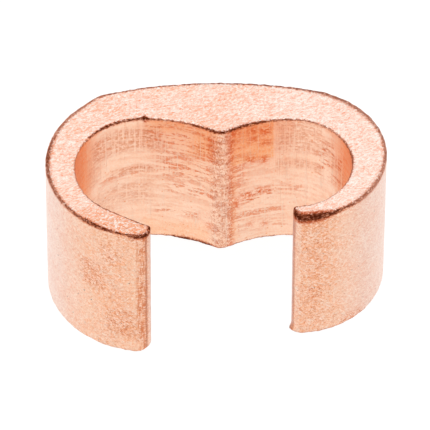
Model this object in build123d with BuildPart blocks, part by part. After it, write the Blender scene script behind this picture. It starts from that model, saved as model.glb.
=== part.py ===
"""Copper C-tap connector, in millimetres.

The connector is one solid piece of soft copper: a short slice, cut square from a drawn bar with
a C-shaped section. It holds two wires side by side, the run wire in the larger groove and the
tap wire in the smaller one. A low rounded ridge on the thick back parts the grooves, and the
wires go in through the mouth between the two lips, which a press then folds shut.

It stands on one cut end. X runs from the run groove to the tap groove, the mouth opens towards
-Y, and the wires run along Z. The origin is under the middle of the slice, on its lower cut end.
"""

import os

from build123d import *

# Wire grooves
run_groove_radius = 4.05
tap_groove_radius = 3.6
groove_gap = 1.1  # between the two groove circles, across the foot of the ridge
ridge_height = 1.3  # where the two flanks would meet, before the ridge is rounded
ridge_radius = 1.0

# Walls round the grooves
back_wall = 2.7
back_radius = 25.0  # the back bulges out between the two rounded ends
run_end_wall = 1.8
tap_end_wall = 2.1
run_lip_wall = 1.7
tap_lip_wall = 1.0

# Mouth and lips
mouth_width = 8.5
run_lip_end_wall = 0.925  # a straight lead-in thins the run lip down to this at the mouth
lip_inner_corner = 0.2
lip_outer_corner = 0.6

# Slice
slice_length = 10.0
edge_radius = 0.15  # worn on every cut edge
roll_width = 0.5  # where the blade rolled the upper edge of the tap lip over
roll_height = 0.3

# The section has X = 0 at the ridge and Y = 0 at the back of the grooves, which lie against one
# line whatever their radii.
run_centre = Vector(-run_groove_radius - groove_gap / 2, -run_groove_radius)
tap_centre = Vector(tap_groove_radius + groove_gap / 2, -tap_groove_radius)
run_back = Vector(run_centre.X, 0)
tap_back = Vector(tap_centre.X, 0)
ridge = Vector(0, -ridge_height)

# Each rounded end is one arc, from the back wall round the end wall to the front of the lip.
run_end_radius = run_groove_radius + (back_wall + run_lip_wall) / 2
tap_end_radius = tap_groove_radius + (back_wall + tap_lip_wall) / 2
run_side = Vector(run_centre.X - run_groove_radius - run_end_wall, back_wall - run_end_radius)
tap_side = Vector(tap_centre.X + tap_groove_radius + tap_end_wall, back_wall - tap_end_radius)


def at_mouth(circle, edge_of_mouth):
    """The point at the front of a circle where the mouth cuts it off."""
    return circle.find_intersection_points(Axis((edge_of_mouth, 0, 0), (0, 1, 0))).sort_by(Axis.Y)[0]


with BuildSketch() as section:
    with BuildLine():
        # Full circles of both ends and both grooves, of which the outline follows parts
        run_end = CenterArc(run_side + (run_end_radius, 0), run_end_radius, 0, 360, mode=Mode.PRIVATE)
        tap_end = CenterArc(tap_side - (tap_end_radius, 0), tap_end_radius, 0, 360, mode=Mode.PRIVATE)
        run_groove = CenterArc(run_centre, run_groove_radius, 0, 360, mode=Mode.PRIVATE)
        tap_groove = CenterArc(tap_centre, tap_groove_radius, 0, 360, mode=Mode.PRIVATE)

        # Outside of the back, one wide arc that runs smoothly into both ends
        back = ConstrainedArcs(
            (run_end, Tangency.ENCLOSING),
            (tap_end, Tangency.ENCLOSING),
            radius=back_radius,
            selector=lambda arcs: arcs.sort_by(Axis.Y)[-1],
        )
        run_shoulder, tap_shoulder = back.vertices().sort_by(Axis.X)

        # Run side: round the end to the lip, in along the lead-in and round the groove
        run_lip = at_mouth(run_end, -mouth_width / 2)
        run_lip_inside = run_lip + Vector(0, run_lip_end_wall)
        ThreePointArc(run_shoulder, run_side, run_lip)
        Line(run_lip, run_lip_inside)
        lead_in = ConstrainedLines(
            run_groove, run_lip_inside, selector=lambda lines: lines.sort_by(Axis.X)[0]
        )
        lead_in_start = lead_in.vertices().sort_by(Axis.X)[0]
        ThreePointArc(lead_in_start, run_centre - (run_groove_radius, 0), run_back)

        # Ridge, between two flanks that leave the backs of the grooves smoothly
        TangentArc(run_back, ridge, tangent=(1, 0))
        TangentArc(tap_back, ridge, tangent=(-1, 0))

        # Tap side: round the groove to the lip and back round the end
        tap_lip = at_mouth(tap_end, mouth_width / 2)
        tap_lip_inside = at_mouth(tap_groove, mouth_width / 2)
        ThreePointArc(tap_back, tap_centre + (tap_groove_radius, 0), tap_lip_inside)
        Line(tap_lip_inside, tap_lip)
        ThreePointArc(tap_lip, tap_side, tap_shoulder)
    make_face()

    fillet(section.vertices().sort_by_distance(ridge)[0], ridge_radius)
    for outer_corner, inner_corner in ((run_lip, run_lip_inside), (tap_lip, tap_lip_inside)):
        fillet(section.vertices().sort_by_distance(outer_corner)[0], lip_outer_corner)
        fillet(section.vertices().sort_by_distance(inner_corner)[0], lip_inner_corner)

# The origin goes to the middle of the section's width and depth.
outline_box = section.sketch.bounding_box()
middle = outline_box.center()
tap_lip_face = tap_side.Y - tap_end_radius - middle.Y

with BuildPart() as c_tap:
    extrude(section.sketch.moved(Location(-middle)), amount=slice_length)
    fillet(c_tap.faces().filter_by(Axis.Z).edges(), edge_radius)

    # Upper edge of the tap lip, rolled over by the blade: an arc falls from the cut end to the lip's
    # face, and all that lies in front of it is taken off the tap half of the slice.
    with BuildSketch(Plane.YZ) as rolled_edge:
        with BuildLine():
            roll_top = Vector(tap_lip_face + roll_width, slice_length)
            roll_foot = Vector(tap_lip_face, slice_length - roll_height)
            TangentArc(roll_top, roll_foot, tangent=(-1, 0))
            Polyline(roll_foot, (tap_lip_face, slice_length), roll_top)
        make_face()
    extrude(rolled_edge.sketch, amount=outline_box.size.X / 2, mode=Mode.SUBTRACT)

c_tap.part.label = "c_tap"
os.makedirs("parts", exist_ok=True)
export_step(c_tap.part, "parts/c_tap.step")
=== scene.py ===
"""Copper C-tap connector: one short slice of drawn copper bar that stands on its cut end."""

from math import acos, atan2, cos, pi, radians, sin, sqrt

import bmesh
import bpy
from mathutils import Matrix, Vector, kdtree


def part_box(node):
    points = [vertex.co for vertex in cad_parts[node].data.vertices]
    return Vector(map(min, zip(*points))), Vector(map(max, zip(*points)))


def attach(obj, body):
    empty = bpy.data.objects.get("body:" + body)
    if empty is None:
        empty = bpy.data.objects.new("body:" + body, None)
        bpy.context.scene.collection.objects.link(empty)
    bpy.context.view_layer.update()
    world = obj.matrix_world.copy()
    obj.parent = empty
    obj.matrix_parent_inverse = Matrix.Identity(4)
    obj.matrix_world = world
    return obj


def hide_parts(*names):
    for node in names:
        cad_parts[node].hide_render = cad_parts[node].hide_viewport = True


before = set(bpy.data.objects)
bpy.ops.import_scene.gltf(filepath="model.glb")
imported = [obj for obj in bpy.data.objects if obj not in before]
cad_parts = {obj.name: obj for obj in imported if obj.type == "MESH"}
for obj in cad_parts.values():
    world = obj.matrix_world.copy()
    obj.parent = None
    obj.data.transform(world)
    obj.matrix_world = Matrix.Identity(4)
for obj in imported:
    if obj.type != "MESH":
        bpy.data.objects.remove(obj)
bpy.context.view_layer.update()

# Section of the copper bar
# The body was drawn through a die, so one C-shaped section runs along all of its length. Two round
# grooves hold the wires, a rounded ridge parts them, and the lips leave a mouth between them.
run_groove_radius = 0.00405
tap_groove_radius = 0.0036
groove_gap = 0.0011
ridge_height = 0.0013
ridge_radius = 0.001
back_wall = 0.0027
back_radius = 0.025
run_end_wall = 0.0018
tap_end_wall = 0.0021
run_lip_wall = 0.0017
tap_lip_wall = 0.001
mouth = 0.0085
run_lip_end_wall = 0.000925
lip_inner_corner = 0.0002
lip_outer_corner = 0.0006


def crossing(centre_a, radius_a, centre_b, radius_b, side):
    """Where two circles cross, to the left (1) or the right (-1) on the way from a to b."""
    way = (centre_b - centre_a).normalized()
    reach = ((centre_b - centre_a).length_squared + radius_a**2 - radius_b**2) / 2
    reach /= (centre_b - centre_a).length
    return centre_a + way * reach + Vector((-way.y, way.x)) * side * sqrt(radius_a**2 - reach**2)


def front_of(centre, radius, x):
    """The point at the front of a circle that has this X."""
    return Vector((x, centre.y - sqrt(radius**2 - (x - centre.x) ** 2)))


def touch(centre, radius, towards):
    """The point of a circle that lies towards another point."""
    return centre + (towards - centre).normalized() * radius


run_centre = Vector((-run_groove_radius - groove_gap / 2, -run_groove_radius))
tap_centre = Vector((tap_groove_radius + groove_gap / 2, -tap_groove_radius))
run_end_radius = run_groove_radius + (back_wall + run_lip_wall) / 2
tap_end_radius = tap_groove_radius + (back_wall + tap_lip_wall) / 2
run_side = run_centre.x - run_groove_radius - run_end_wall
tap_side = tap_centre.x + tap_groove_radius + tap_end_wall
run_end = Vector((run_side + run_end_radius, back_wall - run_end_radius))
tap_end = Vector((tap_side - tap_end_radius, back_wall - tap_end_radius))
back = crossing(run_end, back_radius - run_end_radius, tap_end, back_radius - tap_end_radius, -1)

# Flanks of the ridge, which leave the backs of the grooves smoothly, and its rounded crest
run_flank_radius = (run_centre.x**2 + ridge_height**2) / (2 * ridge_height)
tap_flank_radius = (tap_centre.x**2 + ridge_height**2) / (2 * ridge_height)
run_flank = Vector((run_centre.x, -run_flank_radius))
tap_flank = Vector((tap_centre.x, -tap_flank_radius))
ridge = crossing(
    run_flank, run_flank_radius + ridge_radius, tap_flank, tap_flank_radius + ridge_radius, 1
)

# Corners of the lips
run_mouth = -mouth / 2
tap_mouth = mouth / 2
run_outer = front_of(run_end, run_end_radius - lip_outer_corner, run_mouth - lip_outer_corner)
tap_outer = front_of(tap_end, tap_end_radius - lip_outer_corner, tap_mouth + lip_outer_corner)
tap_inner = front_of(tap_centre, tap_groove_radius + lip_inner_corner, tap_mouth + lip_inner_corner)
run_lip_inside = front_of(run_end, run_end_radius, run_mouth) + Vector((0, run_lip_end_wall))
to_lip = run_lip_inside - run_centre
lead_in_angle = atan2(to_lip.y, to_lip.x) - acos(run_groove_radius / to_lip.length)
lead_in_start = run_centre + run_groove_radius * Vector((cos(lead_in_angle), sin(lead_in_angle)))
lead_in = (run_lip_inside - lead_in_start).normalized()
lead_in_normal = Vector((-lead_in.y, lead_in.x))
run_inner = run_lip_inside - Vector((lip_inner_corner, 0))
run_inner.y += lip_inner_corner * (-lead_in.y - 1) / lead_in.x

# The outline is drawn as a chain of arcs and one straight piece along the inside, and a chain of
# arcs round the outside, both from the run lip to the tap lip.
corner_steps = 6
run_steps = 110
lead_in_steps = 22
middle_steps = 96
ridge_steps = 10
tap_steps = 110
flank_steps = (middle_steps - ridge_steps) // 2
CLOCKWISE = -1
COUNTER = 1

inside_path = [
    (run_inner, run_inner + lead_in_normal * lip_inner_corner, COUNTER, corner_steps),
    (None, lead_in_start, None, lead_in_steps),
    (run_centre, Vector((run_centre.x, 0)), CLOCKWISE, run_steps - lead_in_steps),
    (run_flank, touch(run_flank, run_flank_radius, ridge), CLOCKWISE, flank_steps),
    (ridge, touch(ridge, ridge_radius, tap_flank), COUNTER, ridge_steps),
    (tap_flank, Vector((tap_centre.x, 0)), CLOCKWISE, flank_steps),
    (tap_centre, touch(tap_centre, tap_groove_radius, tap_inner), CLOCKWISE, tap_steps),
    (tap_inner, tap_inner - Vector((lip_inner_corner, 0)), COUNTER, corner_steps),
]
outside_path = [
    (run_outer, touch(run_end, run_end_radius, run_outer), CLOCKWISE, corner_steps),
    (run_end, touch(back, back_radius, run_end), CLOCKWISE, run_steps),
    (back, touch(back, back_radius, tap_end), CLOCKWISE, middle_steps),
    (tap_end, touch(tap_end, tap_end_radius, tap_outer), CLOCKWISE, tap_steps),
    (tap_outer, tap_outer - Vector((lip_outer_corner, 0)), CLOCKWISE, corner_steps),
]
low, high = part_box("c_tap")
slice_length = high.z - low.z
to_frame = Vector((high.x - tap_side, high.y - back.y - back_radius, low.z))


def draw(start, path):
    """Draws a chain of edges from a first vertex by spins and extrusions, in edit mode."""
    # A small square, merged into one vertex, is where the chain starts.
    bpy.ops.mesh.select_all(action="DESELECT")
    bpy.ops.mesh.primitive_plane_add(size=ridge_radius, location=(0, 0, 0))
    bpy.ops.mesh.merge(type="CENTER")
    bpy.ops.transform.translate(value=start.to_3d() + to_frame)
    here = start
    for centre, end, turn, steps in path:
        if centre is None:
            for _ in range(steps):
                step = ((end - here) / steps).to_3d()
                bpy.ops.mesh.extrude_vertices_move(TRANSFORM_OT_translate={"value": step})
        else:
            first, last = here - centre, end - centre
            angle = (atan2(last.y, last.x) - atan2(first.y, first.x)) % (2 * pi)
            angle -= 2 * pi * (turn == CLOCKWISE)
            bpy.ops.mesh.spin(
                steps=steps, angle=angle, center=centre.to_3d() + to_frame, axis=(0, 0, -1)
            )
        here = end


def chain_from(mesh, first):
    """The points of a drawn chain in order, each with its distance along the chain."""
    points, run, previous, here = [], 0, None, mesh.verts[first]
    while here:
        run += (here.co - points[-1][0]).length if points else 0
        points.append((here.co.copy(), run))
        ahead = [e.other_vert(here) for e in here.link_edges if e.other_vert(here) != previous]
        previous, here = here, ahead[0] if ahead else None
    return points


bpy.ops.object.select_all(action="DESELECT")
bpy.ops.mesh.primitive_plane_add(size=ridge_radius, location=(0, 0, 0))
body = bpy.context.object
body.name = "c_tap_body"
bpy.ops.object.mode_set(mode="EDIT")
bpy.ops.mesh.delete(type="VERT")
draw(run_inner + Vector((lip_inner_corner, 0)), inside_path)
inside_count = len(bmesh.from_edit_mesh(body.data).verts)
draw(run_outer + Vector((lip_outer_corner, 0)), outside_path)
outline = bmesh.from_edit_mesh(body.data)
outline.verts.ensure_lookup_table()
inside_line = chain_from(outline, 0)
outside_line = chain_from(outline, inside_count)

# Slice
# The section is filled across and drawn up to the length of the slice. Its cut edges are rounded
# over, and rows and columns are put in for the wear.
cut_edge_radius = 0.00015
cut_edge_steps = 4
wall_rows = 56
face_columns = 13
SHARP = radians(60)


def pick(test):
    """Selects the edges of the body that pass a test, in edit mode."""
    mesh = bmesh.from_edit_mesh(body.data)
    bpy.ops.mesh.select_all(action="DESELECT")
    for edge in mesh.edges:
        edge.select = test(edge)
    mesh.select_flush_mode()
    bmesh.update_edit_mesh(body.data)


bpy.ops.mesh.select_mode(type="EDGE")
bpy.ops.mesh.select_all(action="SELECT")
bpy.ops.mesh.bridge_edge_loops()
bpy.ops.mesh.extrude_region_move(TRANSFORM_OT_translate={"value": (0, 0, slice_length)})
bpy.ops.mesh.select_all(action="SELECT")
bpy.ops.mesh.normals_make_consistent(inside=False)
bpy.ops.mesh.select_all(action="DESELECT")
bpy.ops.mesh.edges_select_sharp(sharpness=SHARP)
bpy.ops.mesh.bevel(
    offset=cut_edge_radius, segments=cut_edge_steps, profile=0.5, clamp_overlap=False, loop_slide=False
)
pick(lambda edge: abs(edge.verts[0].co.z - edge.verts[1].co.z) > slice_length / 2)
bpy.ops.mesh.subdivide(number_cuts=wall_rows)

inside_tree, outside_tree = kdtree.KDTree(len(inside_line)), kdtree.KDTree(len(outside_line))
for tree, line in ((inside_tree, inside_line), (outside_tree, outside_line)):
    for number, (point, _) in enumerate(line):
        tree.insert(point, number)
    tree.balance()


def in_groove(co):
    """Whether a point is nearer to the inside of the section than to its outside."""
    flat = Vector((co.x, co.y, low.z))
    return inside_tree.find(flat)[2] < outside_tree.find(flat)[2]


pick(lambda edge: in_groove(edge.verts[0].co) != in_groove(edge.verts[1].co))
bpy.ops.mesh.subdivide(number_cuts=face_columns, quadcorner="FAN")
bpy.ops.object.mode_set(mode="OBJECT")

# Rolled edge of the tap lip
# The blade that cut the slice pressed the upper edge of the tap lip over before it parted the
# copper, so an arc falls from the cut end to the face of that lip.
roll_width = 0.0005
roll_height = 0.0003
roll_radius = (roll_width**2 + roll_height**2) / (2 * roll_height)
tap_lip_face = tap_end.y - tap_end_radius + to_frame.y

for vertex in body.data.vertices:
    behind = vertex.co.y - tap_lip_face
    if vertex.co.x > 0 and behind < roll_width:
        fall = roll_radius - sqrt(roll_radius**2 - (roll_width - behind) ** 2)
        vertex.co.z = min(vertex.co.z, high.z - fall)

# Marks of the blade and of handling, and painted light
# A dark line follows each cut edge, partly a brown stain and partly painted dark reflection on the
# rounded edge, and the walls carry drag streaks, grey smears, warm patches and brown blotches, with a
# painted pale sheen towards the sides of the outside. The mesh keeps them for its points, with each
# point's own place on the copper.
MM = 1000  # millimetres in a metre

# The dark line, partly brown stain and partly painted dark reflection, by the run along the edge in mm:
# where its middle lies (above 0 on the cut end, below 0 on the wall), half its width, and its strength
upper_outside_line = [
    (0, 0.02, 0.1, 1),
    (0.5, -0.06, 0.15, 1),
    (1.3, -0.08, 0.13, 0.9),
    (1.7, -0.02, 0.07, 0.85),
    (2.6, 0, 0.08, 0.9),
    (3.4, 0, 0.11, 0.95),
    (4.2, 0.02, 0.13, 0.95),
    (5, 0, 0.09, 0.75),
    (6, 0.02, 0.11, 0.75),
    (7.5, 0.05, 0.11, 0.7),
    (9, 0.08, 0.12, 0.75),
    (10.5, 0.11, 0.13, 0.85),
    (12, 0.13, 0.11, 0.7),
    (14, 0.13, 0.1, 0.65),
    (15.5, 0.12, 0.09, 0.65),
    (17.5, 0.09, 0.07, 0.75),
    (24, 0.09, 0.07, 0.8),
    (29, 0.1, 0.09, 0.75),
    (31, 0.15, 0.14, 0.7),
    (33.5, 0.14, 0.14, 0.65),
    (35, 0.09, 0.1, 0.7),
    (37, 0.06, 0.1, 0.7),
    (38.5, 0.04, 0.12, 0.65),
    (40.5, 0, 0.14, 0.65),
    (42, -0.03, 0.12, 0.75),
    (42.7, 0, 0.09, 0.85),
    (43.4, -0.05, 0.15, 0.95),
    (44.2, -0.04, 0.26, 1.1),
    (45.6, -0.03, 0.28, 1.1),
    (46.21, 0, 0.2, 0.9),
]
upper_inside_line = [
    (0, 0.02, 0.1, 0.95),
    (1, 0.02, 0.08, 0.9),
    (3.5, 0.02, 0.07, 0.8),
    (5, 0, 0.05, 0.55),
    (8.8, 0, 0.05, 0.55),
    (9.6, 0, 0.06, 0.75),
    (11, 0, 0.08, 0.95),
    (13.15, 0, 0.07, 0.95),
    (13.4, 0.05, 0.17, 1.1),
    (13.65, 0, 0.07, 0.9),
    (14.4, 0, 0.05, 0.75),
    (16, 0, 0.05, 0.8),
    (17, 0, 0.08, 0.95),
    (18.3, 0, 0.09, 1),
    (20.2, 0, 0.09, 0.95),
    (21.6, 0, 0.06, 0.8),
    (24, 0, 0.05, 0.7),
    (25.5, 0, 0.06, 0.7),
    (28, 0, 0.08, 0.8),
    (29.5, 0, 0.06, 0.7),
    (31, 0, 0.05, 0.65),
    (33.2, 0.02, 0.06, 0.75),
    (33.89, 0.03, 0.08, 0.95),
]
lower_outside_line = [
    (0, -0.04, 0.06, 0.6),
    (3, -0.03, 0.05, 0.4),
    (10, 0, 0.05, 0.25),
    (36, 0, 0.05, 0.3),
    (42, -0.04, 0.06, 0.5),
    (46, -0.04, 0.06, 0.6),
]
lower_inside_line = [
    (0, -0.03, 0.05, 0.5),
    (12, -0.04, 0.05, 0.6),
    (14.5, -0.06, 0.06, 0.7),
    (15.6, -0.09, 0.11, 0.85),
    (17.4, -0.1, 0.12, 0.85),
    (18, -0.05, 0.06, 0.6),
    (19.3, -0.05, 0.06, 0.7),
    (33.89, -0.04, 0.05, 0.6),
]

# Soft patches on the walls, in mm: where they begin and end along the section, where they begin and
# end up the wall, how far they fade out, and their strength. Those from -1 to 11 cover its height.
groove_grey = [
    (9.8, 14.4, 7.4, 9.3, 0.5, 1),
    (11.3, 13.9, 5.5, 6.1, 0.25, 1),
    (9.9, 13.8, 3.0, 4.8, 0.7, 0.6),
    (9.6, 11.4, 1.2, 3.6, 0.8, 0.7),
    (21.7, 24.5, 7.3, 9.9, 0.15, 0.8),
    (21.7, 24.5, 5.9, 6.7, 0.2, 0.7),
    (17.95, 18.75, 0, 10, 0.2, 0.5),
    (24.3, 25.4, 7.8, 9.2, 0.5, 0.7),
    (25, 26, 6.9, 8.3, 0.5, 0.7),
    (25.6, 26.6, 5.9, 7.4, 0.5, 0.7),
    (9.4, 10.4, 5.6, 8.3, 0.6, 0.6),
]
groove_orange = [
    (18.8, 21.55, 6.9, 10, 0.1, 0.75),
    (18.75, 19.2, 0.5, 7, 0.3, 0.4),
    (15.2, 18, 5.2, 9.6, 1.2, 0.15),
    (13.6, 18, 9.1, 10, 0.5, 0.5),
    (16.2, 18, 7.4, 10, 1, 0.7),
    (13.4, 17.5, 0, 1.5, 0.8, 0.35),
    (5.4, 9.3, -1, 11, 0.9, 0.8),
    (26.2, 30.2, -1, 11, 0.9, 0.7),
]
groove_crest = [
    (17.6, 18.9, -1, 11, 0.4, 1),
]
groove_ends = [
    (5.4, 9.3, -1, 11, 0.9, 1),
    (26.2, 30.2, -1, 11, 0.9, 0.8),
]
groove_blotches = [
    (19.9, 20.5, 9.1, 9.7, 0.3, 1),
    (20.65, 21.4, 8.8, 9.6, 0.3, 1),
    (19.9, 20.5, 8.4, 8.9, 0.3, 1),
    (20.65, 21.4, 8, 8.5, 0.3, 0.9),
    (19.8, 20.4, 6.7, 7.3, 0.35, 1),
    (20.65, 21.2, 6.5, 7.1, 0.35, 1),
    (18.8, 19.4, 9.3, 10, 0.4, 0.9),
    (18.65, 19.05, -1, 11, 0.3, 0.8),
    (17.4, 17.9, 7.4, 9.4, 0.5, 0.8),
    (19.5, 20.3, 3.7, 4.3, 0.35, 0.9),
    (20.5, 21.3, 3.9, 4.4, 0.35, 0.9),
    (18.9, 19.4, 3.1, 4.1, 0.3, 0.9),
    (19.9, 20.3, 1.2, 1.7, 0.3, 0.6),
    (20.8, 21.2, 1, 1.5, 0.3, 0.6),
    (17.2, 17.9, 1.4, 2, 0.4, 0.6),
]
groove_dragged = [
    (13.5, 18, 8, 9.9, 0.5, 0.8),
    (16.4, 18.1, 7.6, 10, 0.8, 1),
    (14.2, 18.2, 5.2, 8.1, 0.7, 0.7),
    (14.9, 17.8, 4, 4.8, 0.4, 0.9),
    (14, 16.8, 2.1, 2.6, 0.3, 0.8),
    (16.9, 18, 1.2, 1.9, 0.5, 0.6),
    (18.8, 19.8, 4.6, 9.6, 0.6, 0.5),
    (19.6, 21.5, 3.4, 4.4, 0.3, 1),
    (21.8, 24, 3.6, 4.6, 0.5, 0.4),
    (19, 22.3, 2, 2.7, 0.4, 0.6),
    (19.2, 22.5, 0.9, 1.6, 0.4, 0.5),
    (24.4, 26.4, 5.8, 8.6, 0.6, 1),
    (10.5, 13.6, 5.3, 5.9, 0.3, 0.5),
]
outside_brown = [
    (1.6, 3.4, 0, 10, 1.2, 0.25),
    (3.1, 4.6, 4.9, 6.7, 0.9, 1.35),
    (2, 3.2, 7, 8.6, 0.8, 0.7),
    (1.3, 2.8, 1.3, 3.3, 0.9, 1.2),
    (0.35, 0.95, 1.3, 6.2, 0.4, 1.3),
    (0.35, 0.9, 6.2, 9.6, 0.4, 0.8),
    (0.4, 2.3, 9.4, 9.9, 0.5, 0.9),
    (43.4, 46.3, 0, 10, 1.6, 0.5),
    (43.4, 44.9, 7.2, 8.1, 0.6, 0.9),
    (43.9, 45.1, 5.4, 6.6, 0.6, 0.9),
    (44, 45.2, 2.6, 4.3, 0.6, 0.9),
    (45.3, 46.3, 1.5, 2.8, 0.5, 1.3),
    (41.1, 42.7, -0.4, 0.7, 0.5, 0.9),
]
# Painted pale sheen where the outside turns away towards its sides
outside_painted_sheen = [
    (5.6, 16, -1, 11, 2.5, 1),
    (30, 42.2, -1, 11, 2.5, 1),
]


def at_run(stops, run):
    """The values between two stops of a line at a run along the section."""
    before = max((stop for stop in stops if stop[0] <= run), default=stops[0])
    after = min((stop for stop in stops if stop[0] > run), default=stops[-1])
    share = (run - before[0]) / (after[0] - before[0]) if after[0] > before[0] else 0
    return [first + share * (second - first) for first, second in zip(before[1:], after[1:])]


def in_patches(patches, run, height):
    """How strong the patches are at a place on the wall, with 0 outside them."""
    stain_and_sheen = 0
    for run_from, run_to, height_from, height_to, fade, strength in patches:
        inside = min(run - run_from, run_to - run, height - height_from, height_to - height)
        stain_and_sheen = max(stain_and_sheen, strength * min(max(0.5 + inside / fade, 0), 1))
    return stain_and_sheen


def keep(name, values):
    """Keeps a vector for each point of the body."""
    attribute = body.data.attributes.new(name, "FLOAT_VECTOR", "POINT")
    attribute.data.foreach_set("vector", [number for value in values for number in value])


places = []
lines = []
stains_and_sheen = []
drags = []
sides = []
for vertex in body.data.vertices:
    flat = Vector((vertex.co.x, vertex.co.y, low.z))
    inside, outside = inside_tree.find(flat), outside_tree.find(flat)
    groove_side = inside[2] < outside[2]
    run = MM * (inside_line[inside[1]][1] if groove_side else outside_line[outside[1]][1])
    from_wall = min(inside[2], outside[2])
    from_cut = min(vertex.co.z - low.z, high.z - vertex.co.z)
    height = MM * (vertex.co.z - low.z)
    upper = vertex.co.z > low.z + slice_length / 2
    if groove_side:
        stops = upper_inside_line if upper else lower_inside_line
        stain_and_sheen_patches = (groove_grey, groove_orange, groove_crest)
        dragged = (groove_dragged, groove_blotches, groove_ends)
    else:
        stops = upper_outside_line if upper else lower_outside_line
        stain_and_sheen_patches = (outside_painted_sheen, (), outside_brown)
        dragged = ((), (), ())
    places.append((run, height, (from_wall - from_cut) * MM))
    lines.append(at_run(stops, run))
    stains_and_sheen.append([in_patches(patches, run, height) for patches in stain_and_sheen_patches])
    drags.append([in_patches(patches, run, height) for patches in dragged])
    sides.append(groove_side)
keep("place", places)
keep("line", lines)
keep("stain_and_sheen", stains_and_sheen)
keep("drag", drags)

# Uneven copper
# The cut edges are ragged where the blade tore them, and the whole slice is a little uneven. A few
# nicks and two burrs stand out.
ragged_width = 0.0003
ragged_edge = body.vertex_groups.new(name="ragged_edge")
for vertex, (_, _, from_edge) in zip(body.data.vertices, places):
    ragged_edge.add([vertex.index], max(0, 1 - abs(from_edge) / MM / ragged_width), "REPLACE")


def roughen(name, size, depth, group=""):
    """Presses soft dents of one size into the body, up to one depth."""
    texture = bpy.data.textures.new(name, "CLOUDS")
    texture.noise_scale = size
    texture.noise_depth = 2
    dents = body.modifiers.new(name, "DISPLACE")
    dents.texture = texture
    dents.texture_coords = "LOCAL"
    dents.mid_level = 0.5
    dents.strength = depth
    dents.vertex_group = group
    bpy.ops.object.modifier_apply(modifier=name)


roughen("torn_edges", size=0.0003, depth=0.00009, group="ragged_edge")
roughen("uneven_walls", size=0.0012, depth=0.00003)

# Nicks, the burr at the foot of the tap lip, a worn corner of the run lip and a flatter shoulder:
# the outline and the run in mm where each is, its height, how far it is moved and how wide it is
nicks = [
    (inside_line, 13.4, high.z, Vector((0, 0.00014, -0.00008)), 0.00022),
    (outside_line, 4.4, high.z, Vector((0.00006, 0.0001, -0.0001)), 0.0003),
    (outside_line, 5.0, high.z, Vector((0.00003, 0.00006, -0.00008)), 0.0002),
    (outside_line, 42.2, high.z, Vector((-0.00006, 0.00008, -0.00008)), 0.00025),
    (outside_line, 42.7, high.z, Vector((-0.00004, 0.00008, -0.00008)), 0.0002),
    (outside_line, 46.1, low.z + 0.0001, Vector((-0.00016, -0.00004, 0)), 0.0004),
    (outside_line, 0.1, low.z, Vector((0, 0, 0.00028)), 0.0009),
    (outside_line, 16.6, high.z, Vector((-0.00007, 0.00011, 0)), 0.0014),
]
bpy.ops.object.mode_set(mode="EDIT")
bpy.ops.mesh.select_mode(type="VERT")
for line, run, height, push, reach in nicks:
    spot = min(line, key=lambda point: abs(point[1] * MM - run))[0]
    spot = Vector((spot.x, spot.y, height))
    mesh = bmesh.from_edit_mesh(body.data)
    nearest = min(mesh.verts, key=lambda vertex: (vertex.co - spot).length_squared)
    bpy.ops.mesh.select_all(action="DESELECT")
    nearest.select = True
    mesh.select_flush_mode()
    bmesh.update_edit_mesh(body.data)
    bpy.ops.transform.translate(value=push, use_proportional_edit=True, proportional_size=reach)
bpy.ops.object.mode_set(mode="OBJECT")

# The run lip ends in a thin pressed-out burr, and nothing stands out past the bar or the cut ends.
run_lip_face = run_mouth + to_frame.x
burr_width = 0.0005
burr_height = 0.0001
for vertex in body.data.vertices:
    from_end = abs(run_lip_face - vertex.co.x)
    if vertex.co.y < tap_lip_face + run_lip_wall and from_end < burr_width:
        vertex.co.x += burr_height * (1 - from_end / burr_width)
    vertex.co = [min(max(at, least), most) for at, least, most in zip(vertex.co, low, high)]

# Copper finishes
# All of it is bare copper. The cut ends are rough and pale, with painted highlights and shade in their
# grain, the outside is a dull drawn skin with a painted pale sheen towards its sides, and the grooves
# are smoother, with lines that the die drew along the bar and smears from handling. The dark lines on
# the cut edges are partly painted dark reflection.


def add(tree, kind, inputs=(), **settings):
    """Adds a node, sets it up, and gives its inputs values or joins them to other nodes."""
    node = tree.nodes.new(kind)
    for name, value in settings.items():
        setattr(node, name, value)
    for name, value in dict(inputs).items():
        if isinstance(value, bpy.types.NodeSocket):
            tree.links.new(value, node.inputs[name])
        else:
            node.inputs[name].default_value = value
    return node


def calculate(tree, operation, *values):
    """The result of one Math node."""
    return add(tree, "ShaderNodeMath", dict(enumerate(values)), operation=operation).outputs[0]


def product(tree, first, *others):
    """Several values multiplied together."""
    for value in others:
        first = calculate(tree, "MULTIPLY", first, value)
    return first


def stretch(tree, value, start, end, to_start=0, to_end=1):
    """A value moved smoothly from one range to another, and kept inside it."""
    inputs = {"Value": value, "From Min": start, "From Max": end, "To Min": to_start, "To Max": to_end}
    return add(tree, "ShaderNodeMapRange", inputs, interpolation_type="SMOOTHSTEP").outputs["Result"]


def noise_of(tree, vector, scale, detail=3, roughness=0.65, distortion=0):
    """Soft noise with so many lumps to the mm."""
    inputs = {"Vector": vector, "Scale": scale, "Detail": detail, "Roughness": roughness}
    return add(tree, "ShaderNodeTexNoise", inputs | {"Distortion": distortion}).outputs[0]


def paint(red, green, blue):
    """A colour as it is seen on a screen, from 0 to 255, as the shader's own values."""
    linear = []
    for share in (red / 255, green / 255, blue / 255):
        linear.append(share / 12.92 if share < 0.04045 else ((share + 0.055) / 1.055) ** 2.4)
    return linear + [1]


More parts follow.
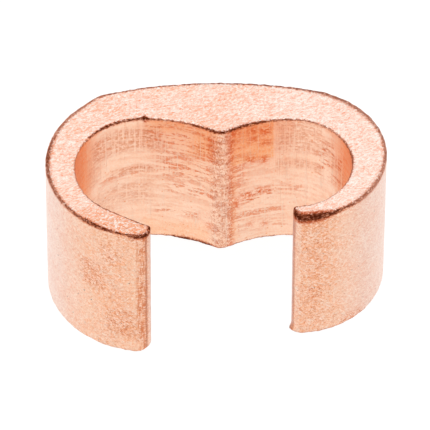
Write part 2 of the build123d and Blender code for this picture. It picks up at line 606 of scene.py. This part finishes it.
def lay(tree, under, share, over, most):
    """A colour laid over another as far as a share goes, and at most so much."""
    node = add(tree, "ShaderNodeMix", data_type="RGBA")
    sockets = {socket.identifier: socket for socket in node.inputs}
    tree.links.new(calculate(tree, "MULTIPLY", share, most), sockets["Factor_Float"])
    for name, value in (("A_Color", under), ("B_Color", paint(*over))):
        if isinstance(value, bpy.types.NodeSocket):
            tree.links.new(value, sockets[name])
        else:
            sockets[name].default_value = value
    return next(socket for socket in node.outputs if socket.identifier == "Result_Color")


def layered(tree, colour, layers):
    """A colour with others laid over it in turn, each given by its share, itself and its most."""
    for share, over, most in layers:
        colour = lay(tree, colour, share, over, most)
    return colour


def new_group(name, inputs, outputs):
    """An empty group of shader nodes, with its way in and its way out."""
    group = bpy.data.node_groups.new(name, "ShaderNodeTree")
    for direction, sockets in (("INPUT", inputs), ("OUTPUT", outputs)):
        for socket in sockets:
            kind = "NodeSocketVector" if socket == "Vector" else "NodeSocketFloat"
            group.interface.new_socket(socket, in_out=direction, socket_type=kind)
    way_in = group.nodes.new("NodeGroupInput")
    way_out = group.nodes.new("NodeGroupOutput")
    return group, way_in.outputs, way_out.inputs


def use(tree, group, vector=None, **inputs):
    """The outputs of a group of nodes, placed in a material with its own values."""
    values = {name.capitalize(): value for name, value in inputs.items()}
    if vector:
        values["Vector"] = vector
    return add(tree, "ShaderNodeGroup", values, node_tree=group).outputs


def recorded(tree, name):
    """What the mesh keeps under a name, as one vector and then as its three numbers."""
    vector = add(tree, "ShaderNodeAttribute", attribute_name=name).outputs["Vector"]
    return vector, *add(tree, "ShaderNodeSeparateXYZ", {0: vector}).outputs


def drawn_out(tree, given):
    """A place turned one way, and measured in cells of one length and width."""
    turn = {0: given["Vector"], "Angle": given["Turn"]}
    turned = add(tree, "ShaderNodeVectorRotate", turn, rotation_type="Z_AXIS").outputs[0]
    sizes = {"X": given["Length"], "Y": given["Width"], "Z": given["Length"]}
    cell = add(tree, "ShaderNodeCombineXYZ", sizes).outputs[0]
    cells = add(tree, "ShaderNodeVectorMath", {0: turned, 1: cell}, operation="DIVIDE").outputs[0]
    return add(tree, "ShaderNodeVectorMath", {0: cells, 1: given["Seed"]}, operation="ADD").outputs[0]


# Broken strokes, all one way and in clusters: drag marks, die lines and scratches
strokes, given, result = new_group(
    "broken_strokes",
    ("Turn", "Length", "Width", "Seed", "Start", "Full", "Cluster", "Vector"),
    ("Mask",),
)
cells = drawn_out(strokes, given)
mask = stretch(strokes, noise_of(strokes, cells, 1), given["Start"], given["Full"])
crowd = stretch(strokes, noise_of(strokes, cells, 0.23, 2), 0.42, 0.6)
crowd = calculate(strokes, "ADD", calculate(strokes, "MULTIPLY", crowd, given["Cluster"]), 1)
crowd = calculate(strokes, "SUBTRACT", crowd, given["Cluster"])
strokes.links.new(calculate(strokes, "MULTIPLY", mask, crowd), result["Mask"])

# Torn grain: the crumpled light and dark of rough metal; on the cut ends these are painted highlights
# and painted shade
grain, given, result = new_group(
    "torn_grain", ("Turn", "Length", "Width", "Seed", "Vector"), ("Light", "Dark")
)
crumple = noise_of(grain, drawn_out(grain, given), 1, 4, 0.75, 1)
grain.links.new(stretch(grain, crumple, 0.52, 0.6), result["Light"])
grain.links.new(stretch(grain, crumple, 0.48, 0.4), result["Dark"])

# Small specks of dirt and pits, of which only a share of the places holds one
specks, given, result = new_group("specks", ("Vector", "Spacing", "Size", "Share"), ("Mask",))
spaced = {0: given["Vector"], 1: given["Spacing"]}
spaced = add(specks, "ShaderNodeVectorMath", spaced, operation="DIVIDE").outputs[0]
cells = {"Vector": spaced, "Scale": 1}
cells = add(specks, "ShaderNodeTexVoronoi", cells, voronoi_dimensions="2D").outputs
chance = add(specks, "ShaderNodeSeparateColor", {0: cells["Color"]}).outputs
present = calculate(specks, "LESS_THAN", chance[0], given["Share"])
reach = calculate(specks, "MULTIPLY", given["Size"], calculate(specks, "ADD", chance[1], 0.4))
spot = stretch(specks, calculate(specks, "DIVIDE", cells["Distance"], reach), 1.2, 0.5)
specks.links.new(calculate(specks, "MULTIPLY", spot, present), result["Mask"])

# The dark line on each cut edge, partly a brown stain and partly painted dark reflection: a brown rim
# with a darker core, and painted highlights where torn metal glints beside it
edge_line, given, result = new_group("edge_line", ("Raggedness",), ("Rim", "Core", "Painted_glint"))
place, _, _, from_edge = recorded(edge_line, "place")
_, middle, half_width, strength = recorded(edge_line, "line")
wander = calculate(edge_line, "SUBTRACT", noise_of(edge_line, place, 7, 3, 0.8), 0.5)
shift = calculate(edge_line, "MULTIPLY", wander, given["Raggedness"])
offset = calculate(edge_line, "ADD", calculate(edge_line, "SUBTRACT", from_edge, middle), shift)
reach = calculate(edge_line, "DIVIDE", calculate(edge_line, "ABSOLUTE", offset), half_width)
broken = noise_of(edge_line, place, 5, 3, 0.8)
faded = stretch(edge_line, broken, 0.3, 0.55, 0.35, 1)
rim = product(edge_line, stretch(edge_line, reach, 2.6, 1.2), strength, faded)
edge_line.links.new(rim, result["Rim"])
rolled = stretch(edge_line, strength, 1, 1.1)
whole = stretch(edge_line, broken, 0.33, 0.58, 0.3, 1)
whole = calculate(edge_line, "MAXIMUM", whole, calculate(edge_line, "MULTIPLY", rolled, 0.75))
strong = stretch(edge_line, strength, 0.2, 1)
core = product(edge_line, stretch(edge_line, reach, 1.5, 0.6), strong, whole)
edge_line.links.new(core, result["Core"])
beside = calculate(edge_line, "SUBTRACT", offset, calculate(edge_line, "ADD", half_width, 0.07))
beside = stretch(edge_line, calculate(edge_line, "ABSOLUTE", beside), 0.08, 0.02)
torn = stretch(edge_line, noise_of(edge_line, place, 6, 2, 0.8), 0.56, 0.6)
torn = product(edge_line, beside, torn, calculate(edge_line, "SUBTRACT", 1, rolled))
edge_line.links.new(torn, result["Painted_glint"])

# Colours of the line: a brown rim, a dark core of stain and painted dark reflection, and a painted
# highlight for the glints
edge_rim = (212, 118, 72)
edge_stain_and_dark_reflection = (116, 50, 26)
painted_glint = (255, 246, 238)


def strokes_of(tree, place, turn, length, width, seed, start, full, cluster=0):
    """Broken strokes of one length and width in mm, by the noise where they start and are full."""
    shape = {"turn": radians(turn), "length": length, "width": width, "seed": seed}
    return use(tree, strokes, place, **shape, start=start, full=full, cluster=cluster)["Mask"]


def grain_of(tree, place, turn, length, width, seed):
    """Torn grain with lumps of one length and width in mm."""
    return use(tree, grain, place, turn=radians(turn), length=length, width=width, seed=seed)


def copper(name):
    """A bare copper finish: its material, its tree of nodes and its shader."""
    material = bpy.data.materials.new(name)
    material.use_nodes = True
    shader = material.node_tree.nodes["Principled BSDF"]
    shader.inputs["Metallic"].default_value = 1
    return material, material.node_tree, shader


def finish(tree, shader, colour, relief, depth, roughness):
    """Adds the cut edges' dark line, partly painted dark reflection, and their painted glints to a
    colour, and joins it, a relief in metres and a roughness to a shader.
    """
    edge = use(tree, edge_line, raggedness=0.5)
    layers = [
        (edge["Rim"], edge_rim, 1),
        (edge["Painted_glint"], painted_glint, 1),
        (edge["Core"], edge_stain_and_dark_reflection, 1),
    ]
    bump = add(tree, "ShaderNodeBump", {"Height": relief, "Distance": depth})
    tree.links.new(layered(tree, colour, layers), shader.inputs["Base Color"])
    tree.links.new(bump.outputs[0], shader.inputs["Normal"])
    tree.links.new(calculate(tree, "MAXIMUM", roughness, edge["Rim"]), shader.inputs["Roughness"])
    return edge


# Cut ends: rough and pale, dragged the way the blade went, and redder on the lips, with one scratch
# across the run lip, painted white as a highlight. The places are X and Y on the slice in mm.
cut_colour = (253, 204, 178)
cut_warm = (240, 164, 120)
cut_pink = (255, 228, 214)
cut_painted_highlight = (255, 248, 240)
cut_dark_and_shade = (246, 142, 92)
lips_begin = -3.2
lips_full = -5.6
tap_half_full = 5
scratch_at = -5.85

cut_copper, tree, shader = copper("copper_cut_end")
here = add(tree, "ShaderNodeTexCoord").outputs["Object"]
here = add(tree, "ShaderNodeMapping", {"Vector": here, "Scale": (MM, MM, MM)}).outputs[0]
at = add(tree, "ShaderNodeSeparateXYZ", {0: here}).outputs
on_lips = stretch(tree, at["Y"], lips_begin, lips_full)
on_tap_half = stretch(tree, at["X"], 0, tap_half_full)
on_tap_half = product(tree, on_tap_half, calculate(tree, "SUBTRACT", 1, on_lips))
coarse = grain_of(tree, here, -16, 0.34, 0.12, seed=3)
fine = grain_of(tree, here, -30, 0.15, 0.075, seed=21)
long = strokes_of(tree, here, -44, 1.6, 0.08, seed=31, start=0.6, full=0.7)
cracks = strokes_of(tree, here, -24, 0.5, 0.09, seed=44, start=0.6, full=0.66)
pinker = stretch(tree, noise_of(tree, here, 0.6, 4), 0.38, 0.62)
warmer = stretch(tree, noise_of(tree, here, 0.33, 3), 0.5, 0.62)
wander = calculate(tree, "SUBTRACT", noise_of(tree, here, 2.5, 3, 0.8), 0.5)
from_scratch = calculate(tree, "ADD", calculate(tree, "SUBTRACT", at["X"], scratch_at), wander)
scratch_highlight = stretch(tree, calculate(tree, "ABSOLUTE", from_scratch), 0.08, 0.04)
scratch_highlight = product(tree, scratch_highlight, on_lips, stretch(tree, noise_of(tree, here, 5), 0.42, 0.52))
# The grain's Light and Dark are painted highlights and painted shade of the rough cut; the long strokes
# are darker drag marks
layers = [
    (pinker, cut_pink, 0.5),
    (on_lips, cut_warm, 0.9),
    (warmer, cut_warm, 0.15),
    (on_tap_half, cut_pink, 0.65),
    (coarse["Dark"], cut_dark_and_shade, 0.38),
    (fine["Dark"], cut_dark_and_shade, 0.7),
    (long, cut_dark_and_shade, 0.35),
    (coarse["Light"], cut_painted_highlight, 0.7),
    (fine["Light"], cut_painted_highlight, 0.95),
    (scratch_highlight, painted_glint, 0.95),
    (product(tree, on_lips, cracks), edge_rim, 0.9),
]
colour = layered(tree, paint(*cut_colour), layers)
relief = calculate(tree, "SUBTRACT", coarse["Light"], coarse["Dark"])
roughness = stretch(tree, coarse["Dark"], 0, 1, 0.3, 0.5)
finish(tree, shader, colour, relief, depth=0.000006, roughness=roughness)

# Outside: a dull drawn skin with brown blotches, fine scratches and a few dark specks, a painted pale
# sheen towards its sides, and a thin film of the grease that it was drawn with
skin_colour = (250, 190, 148)
skin_brown = (238, 142, 76)
skin_dark = (212, 112, 44)
skin_pale = (252, 210, 182)
skin_painted_sheen = (238, 208, 196)
skin_light = (255, 230, 212)
speck_grey = (104, 72, 74)


def strip(tree, run, start, full, fading, end):
    """A strip up the wall, by the runs in mm where it starts, is full, begins to fade and ends."""
    return product(tree, stretch(tree, run, start, full), stretch(tree, run, end, fading))


skin_copper, tree, shader = copper("copper_drawn_outside")
shader.inputs["Coat Roughness"].default_value = 0.4
shader.inputs["Coat IOR"].default_value = 1.55
here, run, _, _ = recorded(tree, "place")
_, pale, _, brown = recorded(tree, "stain_and_sheen")
coarse = grain_of(tree, here, 50, 0.34, 0.18, seed=11)
fine = grain_of(tree, here, -35, 0.17, 0.12, seed=27)
scuffs = strokes_of(tree, here, 88, 1.1, 0.13, seed=61, start=0.47, full=0.56)
down = strokes_of(tree, here, 58, 0.26, 0.1, seed=5, start=0.58, full=0.64, cluster=0.9)
level = strokes_of(tree, here, -12, 0.22, 0.1, seed=7, start=0.58, full=0.64, cluster=0.8)
across = strokes_of(tree, here, -42, 0.8, 0.06, seed=9, start=0.6, full=0.66)
dirt = use(tree, specks, here, spacing=0.5, size=0.08, share=0.1)["Mask"]
mottled = stretch(tree, noise_of(tree, here, 0.8, 5, 0.7), 0.36, 0.66)
browner = stretch(tree, noise_of(tree, here, 0.3, 3), 0.42, 0.6)
worn = calculate(tree, "ADD", brown, 0.3)
grit = noise_of(tree, here, 6, 3, 0.75)

# Up the lips, by the run in mm: a dark edge on both, a seam between a painted highlight strip and a
# chafed one on the run lip, and a pale strip beside the edge of the tap lip
run_lip_edge = stretch(tree, run, 0.2, 0.1)
tap_lip_edge = stretch(tree, run, 45.75, 45.85)
seam = strip(tree, run, 0.42, 0.48, 0.54, 0.6)
seam = calculate(tree, "MAXIMUM", calculate(tree, "MAXIMUM", seam, tap_lip_edge), run_lip_edge)
lip_painted_highlight = strip(tree, run, 0.2, 0.26, 0.38, 0.42)
chafed = strip(tree, run, 0.5, 0.6, 0.9, 1.2)
chafed = product(tree, chafed, scuffs, stretch(tree, grit, 0.36, 0.5))
pale_strip = strip(tree, run, 45.36, 45.46, 45.7, 45.78)
layers = [
    (mottled, skin_pale, 0.55),
    # painted pale sheen towards the sides
    (pale, skin_painted_sheen, 0.7),
    (browner, skin_brown, 0.16),
    (brown, skin_brown, 0.3),
    (coarse["Dark"], skin_brown, 0.35),
    (coarse["Light"], skin_pale, 0.8),
    (product(tree, fine["Dark"], worn), skin_dark, 1),
    (fine["Light"], skin_light, 0.75),
    (product(tree, down, worn), skin_dark, 0.9),
    (product(tree, level, worn), skin_dark, 0.9),
    (across, cut_pink, 0.75),
    (chafed, skin_dark, 0.9),
    (lip_painted_highlight, skin_painted_sheen, 0.15),
    (pale_strip, skin_light, 0.2),
    (seam, skin_dark, 0.7),
    (product(tree, seam, stretch(tree, grit, 0.42, 0.55)), edge_stain_and_dark_reflection, 0.36),
    (dirt, speck_grey, 0.9),
]
colour = layered(tree, paint(*skin_colour), layers)
relief = calculate(tree, "SUBTRACT", coarse["Light"], down)
roughness = stretch(tree, coarse["Dark"], 0, 1, 0.36, 0.46)
edge = finish(tree, shader, colour, relief, depth=0.00001, roughness=roughness)
tree.links.new(calculate(tree, "SUBTRACT", 1, edge["Rim"]), shader.inputs["Coat Weight"])

# Grooves: smoother, with drag streaks round the walls, die lines up them, smears and warm patches
groove_colour = (255, 210, 180)
groove_streak = (255, 146, 76)
groove_burn = (238, 116, 44)
groove_smear = (226, 152, 116)
groove_blotch = (228, 106, 40)
groove_heat = (255, 170, 60)
groove_light = (255, 228, 208)
ridge_grit = (200, 102, 62)

groove_copper, tree, shader = copper("copper_drawn_grooves")
here = recorded(tree, "place")[0]
_, grey, warm, crest = recorded(tree, "stain_and_sheen")
_, dragged, blotched, end = recorded(tree, "drag")
grit = noise_of(tree, here, 4.5, 4, 0.8)
coarse = grain_of(tree, here, 12, 0.2, 0.12, seed=14)
fine = grain_of(tree, here, 85, 0.24, 0.1, seed=33)
bands = strokes_of(tree, here, 2, 1.5, 0.23, seed=2, start=0.5, full=0.52, cluster=0.2)
columns = strokes_of(tree, here, 90, 6, 0.15, seed=41, start=0.42, full=0.47)
rows = strokes_of(tree, here, 1, 1.6, 0.22, seed=52, start=0.42, full=0.52)
die_lines = strokes_of(tree, here, 90, 9, 0.12, seed=8, start=0.6, full=0.7)
dirt = use(tree, specks, here, spacing=0.45, size=0.11, share=0.2)["Mask"]
clear = calculate(tree, "SUBTRACT", 1, die_lines)
gaps = stretch(tree, columns, 0, 1, 0.3, 1)
in_rows = stretch(tree, rows, 0, 1, 0.45, 1)
dragged = calculate(tree, "MINIMUM", calculate(tree, "ADD", dragged, 0.12), 1)
streaks = product(tree, bands, stretch(tree, grit, 0.45, 0.5), clear, gaps, dragged)
smear = product(tree, grey, stretch(tree, grit, 0.38, 0.56), clear, gaps, in_rows)
blotched = product(tree, blotched, stretch(tree, grit, 0.45, 0.5))
paler = stretch(tree, noise_of(tree, here, 0.7, 4), 0.35, 0.65)
patchy = stretch(tree, noise_of(tree, here, 1.7, 3, 0.7), 0.5, 0.58)
layers = [
    (paler, groove_light, 0.3),
    (warm, groove_heat, 0.54),
    (end, groove_burn, 0.3),
    (coarse["Dark"], groove_streak, 0.08),
    (coarse["Light"], groove_light, 0.35),
    (product(tree, fine["Dark"], calculate(tree, "ADD", warm, 0.4)), groove_streak, 0.32),
    (fine["Light"], groove_light, 0.35),
    (streaks, groove_burn, 0.85),
    (blotched, groove_blotch, 0.85),
    (smear, groove_smear, 0.9),
    (product(tree, crest, patchy), ridge_grit, 0.5),
    (product(tree, crest, fine["Dark"]), ridge_grit, 0.7),
    (product(tree, crest, fine["Light"]), groove_light, 0.5),
    (die_lines, groove_light, 0.5),
    (dirt, skin_brown, 0.6),
]
colour = layered(tree, paint(*groove_colour), layers)
relief = calculate(tree, "SUBTRACT", die_lines, streaks)
roughness = stretch(tree, bands, 0, 1, 0.3, 0.45)
finish(tree, shader, colour, relief, depth=0.00001, roughness=roughness)

CUT_END, OUTSIDE, GROOVES = range(3)
for material in (cut_copper, skin_copper, groove_copper):
    body.data.materials.append(material)
for face in body.data.polygons:
    if abs(face.normal.z) > sin(radians(45)):
        face.material_index = CUT_END
    elif all(sides[number] for number in face.vertices):
        face.material_index = GROOVES
    else:
        face.material_index = OUTSIDE

bpy.ops.object.shade_smooth()
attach(body, "root")
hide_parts("c_tap")

# Floor and light
# A plain white floor runs on into a white surround, and soft lamps light the copper from above.
bpy.ops.mesh.primitive_plane_add(size=4)
floor = bpy.context.object
floor.name = "floor"
floor.data.materials.append(bpy.data.materials.new("white_floor"))
floor.data.materials[0].use_nodes = True
tree = floor.data.materials[0].node_tree
tree.nodes.remove(tree.nodes["Principled BSDF"])


def seen_plainly(tree):
    """1 for what the camera sees, straight or mirrored in metal, and 0 for light on the copper."""
    path = add(tree, "ShaderNodeLightPath").outputs
    mirrored = calculate(tree, "MAXIMUM", path["Is Camera Ray"], path["Is Glossy Ray"])
    return calculate(tree, "MAXIMUM", mirrored, path["Is Transmission Ray"])


white = add(tree, "ShaderNodeEmission", {"Color": (1, 1, 1, 1), "Strength": 0.93})
shaded = add(tree, "ShaderNodeBsdfDiffuse", {"Color": (0.15, 0.15, 0.15, 1)})
cloth = add(tree, "ShaderNodeBsdfDiffuse", {"Color": (0.8, 0.8, 0.8, 1)})
both = add(tree, "ShaderNodeAddShader", {0: white.outputs[0], 1: shaded.outputs[0]})
mix = add(tree, "ShaderNodeMixShader", {0: seen_plainly(tree), 1: cloth.outputs[0], 2: both.outputs[0]})
tree.links.new(mix.outputs[0], tree.nodes["Material Output"].inputs["Surface"])

world = bpy.data.worlds.new("surround")
bpy.context.scene.world = world
world.use_nodes = True
tree = world.node_tree
background = tree.nodes["Background"]
background.inputs["Color"].default_value = (1, 1, 1, 1)
tree.links.new(stretch(tree, seen_plainly(tree), 0, 1, 0.9, 1), background.inputs["Strength"])

# Where each lamp is, its size and its power in watts
soft_lamps = {
    "lamp_above": (Vector((0, 0.1, 0.55)), 0.6, 0.3),
    "lamp_left": (Vector((-0.5, -0.15, 0.3)), 0.4, 0.4),
    "lamp_right": (Vector((0.5, -0.15, 0.3)), 0.4, 0.4),
}
for name, (spot, size, power) in soft_lamps.items():
    lamp = bpy.data.objects.new(name, bpy.data.lights.new(name, "AREA"))
    bpy.context.collection.objects.link(lamp)
    lamp.data.size = size
    lamp.data.energy = power
    lamp.matrix_world = Matrix.Translation(spot) @ spot.to_track_quat("Z", "Y").to_matrix().to_4x4()

# Camera
# A long lens, 350 mm away and about 46 degrees up, looks into the mouth.
camera_data = bpy.data.cameras.new("camera")
camera = bpy.data.objects.new("camera", camera_data)
bpy.context.collection.objects.link(camera)
camera_distance = 0.35
camera_height = radians(45.66)
camera_roll = radians(0.26)
aim = Vector((-0.000059, -0.004718, high.z))
camera_data.sensor_width = 36
camera_data.lens = 498.1
camera_data.clip_start = 0.01
camera_place = aim + camera_distance * Vector((0, -cos(camera_height), sin(camera_height)))
camera.matrix_world = (
    Matrix.Translation(camera_place)
    @ Matrix.Rotation(radians(90) - camera_height, 4, "X")
    @ Matrix.Rotation(camera_roll, 4, "Z")
)
bpy.context.scene.camera = camera
bpy.context.scene.view_settings.view_transform = "Standard"
